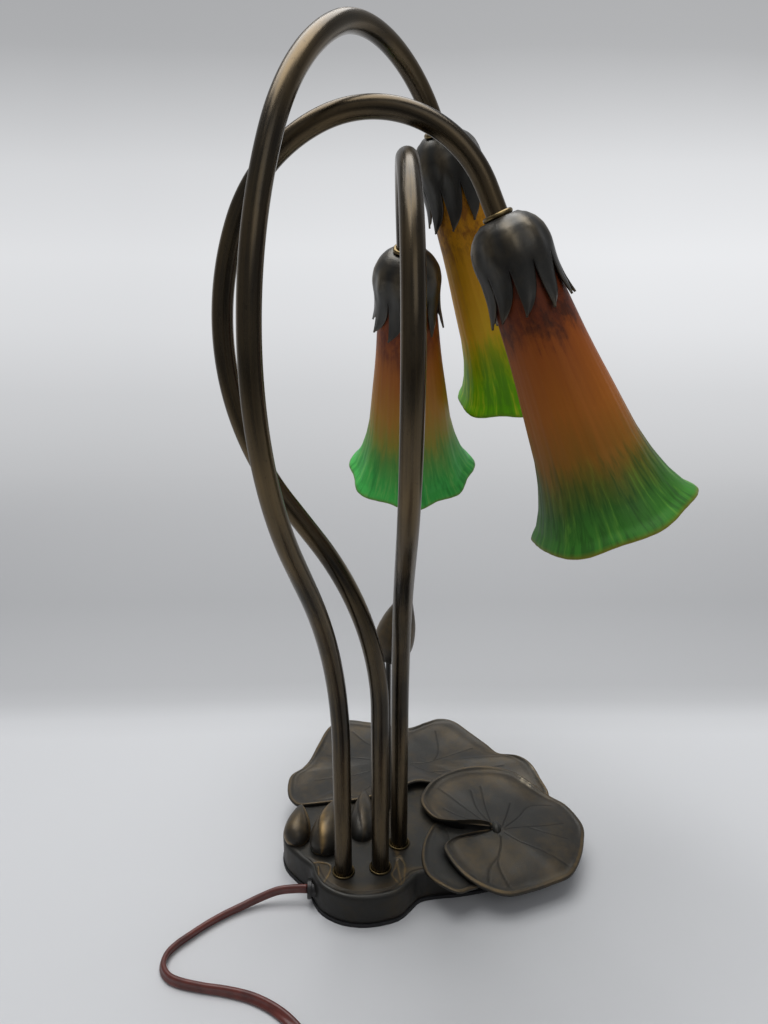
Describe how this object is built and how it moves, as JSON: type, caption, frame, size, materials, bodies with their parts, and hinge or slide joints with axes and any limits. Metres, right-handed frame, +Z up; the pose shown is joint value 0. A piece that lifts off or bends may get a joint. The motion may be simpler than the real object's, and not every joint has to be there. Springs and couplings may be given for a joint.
{
  "type": "table lamp",
  "caption": "Table lamp with three tall hooked stems that carry hanging lily-shaped art glass shades, on a cast base of overlapping lily pads with a bud.",
  "frame": {"origin": "on the underside of the base, just below the foot of the middle stem", "axes": "+Z up along the stems, +X towards the front right shade, +Y towards the back of the base"},
  "size_m": [0.2517, 0.3644, 0.4345],
  "materials": {
    "cast_bronze": "antique bronze finish on a metal casting, rubbed at its edges",
    "stem_bronze": "antique bronze finish, brushed",
    "calyx_bronze": "dark bronze grey, satin",
    "brushed_brass": "antique brass",
    "zinc_steel": "zinc plated",
    "black_foam": "matte foam sheet",
    "black_plastic": "moulded",
    "yellow_plastic": "moulded",
    "brown_vinyl": "flat twin vinyl cord",
    "brown_plastic": "moulded",
    "lead_insulation": "vinyl",
    "phenolic": "phenolic moulding",
    "plain_brass": "bright",
    "art_glass": "art glass, amber to deep green, satin with a sheen",
    "back_glass": "art glass, amber to bright green, satin with a sheen",
    "bulb_glass": "frosted"
  },
  "bodies": {
    "lamp": {"base_casting": "cast_bronze", "bottom_plate": "zinc_steel", "foam_pad": "black_foam", "bottom_screws": "zinc_steel", "cord_bushing": "black_plastic", "foot_collars": "brushed_brass", "foot_washers": "zinc_steel", "foot_nuts": "zinc_steel", "wire_connectors": "yellow_plastic", "inner_cord": "brown_vinyl", "bud_rod": "stem_bronze", "closed_bud": "cast_bronze", "left_stem": "stem_bronze", "middle_stem": "stem_bronze", "right_stem": "stem_bronze", "left_lead": "lead_insulation", "middle_lead": "lead_insulation", "right_lead": "lead_insulation", "left_tip_ring": "brushed_brass", "middle_tip_ring": "brushed_brass", "right_tip_ring": "brushed_brass", "left_calyx": "calyx_bronze", "middle_calyx": "calyx_bronze", "right_calyx": "calyx_bronze", "left_locknut": "zinc_steel", "middle_locknut": "zinc_steel", "right_locknut": "zinc_steel", "left_socket": "phenolic", "middle_socket": "phenolic", "right_socket": "phenolic", "left_screw_shell": "plain_brass", "middle_screw_shell": "plain_brass", "right_screw_shell": "plain_brass", "left_contact": "plain_brass", "middle_contact": "plain_brass", "right_contact": "plain_brass", "cord_to_switch": "brown_vinyl", "cord_to_coil": "brown_vinyl", "cord_coil": "brown_vinyl", "cord_to_plug": "brown_vinyl", "cord_tie": "black_plastic", "switch_bottom": "brown_plastic", "switch_top": "brown_plastic", "switch_contacts": "plain_brass", "switch_screws": "zinc_steel", "plug_body": "brown_plastic", "plug_blades": "plain_brass"},
    "left_glass_shade": {"left_shade": "back_glass"},
    "left_ring": {"left_shade_ring": "phenolic"},
    "left_bulb": {"left_bulb_cap": "plain_brass", "left_bulb_glass": "bulb_glass"},
    "middle_glass_shade": {"middle_shade": "art_glass"},
    "middle_ring": {"middle_shade_ring": "phenolic"},
    "middle_bulb": {"middle_bulb_cap": "plain_brass", "middle_bulb_glass": "bulb_glass"},
    "right_glass_shade": {"right_shade": "art_glass"},
    "right_ring": {"right_shade_ring": "phenolic"},
    "right_bulb": {"right_bulb_cap": "plain_brass", "right_bulb_glass": "bulb_glass"},
    "thumb_wheel": {"switch_wheel": "black_plastic"}
  },
  "joints": [
    {"name": "left_shade_turn", "type": "hinge", "parent": "lamp", "child": "left_glass_shade", "pos_m": [0.03064, 0.06779, 0.38387], "axis": [0.3766, 0.2815, -0.8826], "continuous": true},
    {"name": "left_ring_turn", "type": "hinge", "parent": "lamp", "child": "left_ring", "pos_m": [0.03238, 0.06908, 0.37981], "axis": [0.3766, 0.2815, -0.8826], "range_deg": [0, 1080]},
    {"name": "left_bulb_turn", "type": "hinge", "parent": "lamp", "child": "left_bulb", "pos_m": [0.03742, 0.07286, 0.36799], "axis": [0.3766, 0.2815, -0.8826], "range_deg": [0, 1440]},
    {"name": "middle_shade_turn", "type": "hinge", "parent": "lamp", "child": "middle_glass_shade", "pos_m": [0.05287, -0.00288, 0.34076], "axis": [0.4062, -0.0213, -0.9135], "continuous": true},
    {"name": "middle_ring_turn", "type": "hinge", "parent": "lamp", "child": "middle_ring", "pos_m": [0.05474, -0.00297, 0.33656], "axis": [0.4062, -0.0213, -0.9135], "range_deg": [0, 1080]},
    {"name": "middle_bulb_turn", "type": "hinge", "parent": "lamp", "child": "middle_bulb", "pos_m": [0.06018, -0.00326, 0.32432], "axis": [0.4062, -0.0213, -0.9135], "range_deg": [0, 1440]},
    {"name": "right_shade_turn", "type": "hinge", "parent": "lamp", "child": "right_glass_shade", "pos_m": [0.0114, 0.05761, 0.32982], "axis": [0.04, 0.47, -0.8818], "continuous": true},
    {"name": "right_ring_turn", "type": "hinge", "parent": "lamp", "child": "right_ring", "pos_m": [0.01158, 0.05977, 0.32577], "axis": [0.04, 0.47, -0.8818], "range_deg": [0, 1080]},
    {"name": "right_bulb_turn", "type": "hinge", "parent": "lamp", "child": "right_bulb", "pos_m": [0.01212, 0.06607, 0.31395], "axis": [0.04, 0.47, -0.8818], "range_deg": [0, 1440]},
    {"name": "thumb_wheel_turn", "type": "hinge", "parent": "lamp", "child": "thumb_wheel", "pos_m": [0.028, -0.113, 0.0075], "axis": [0, 0, 1], "continuous": true}
  ]
}
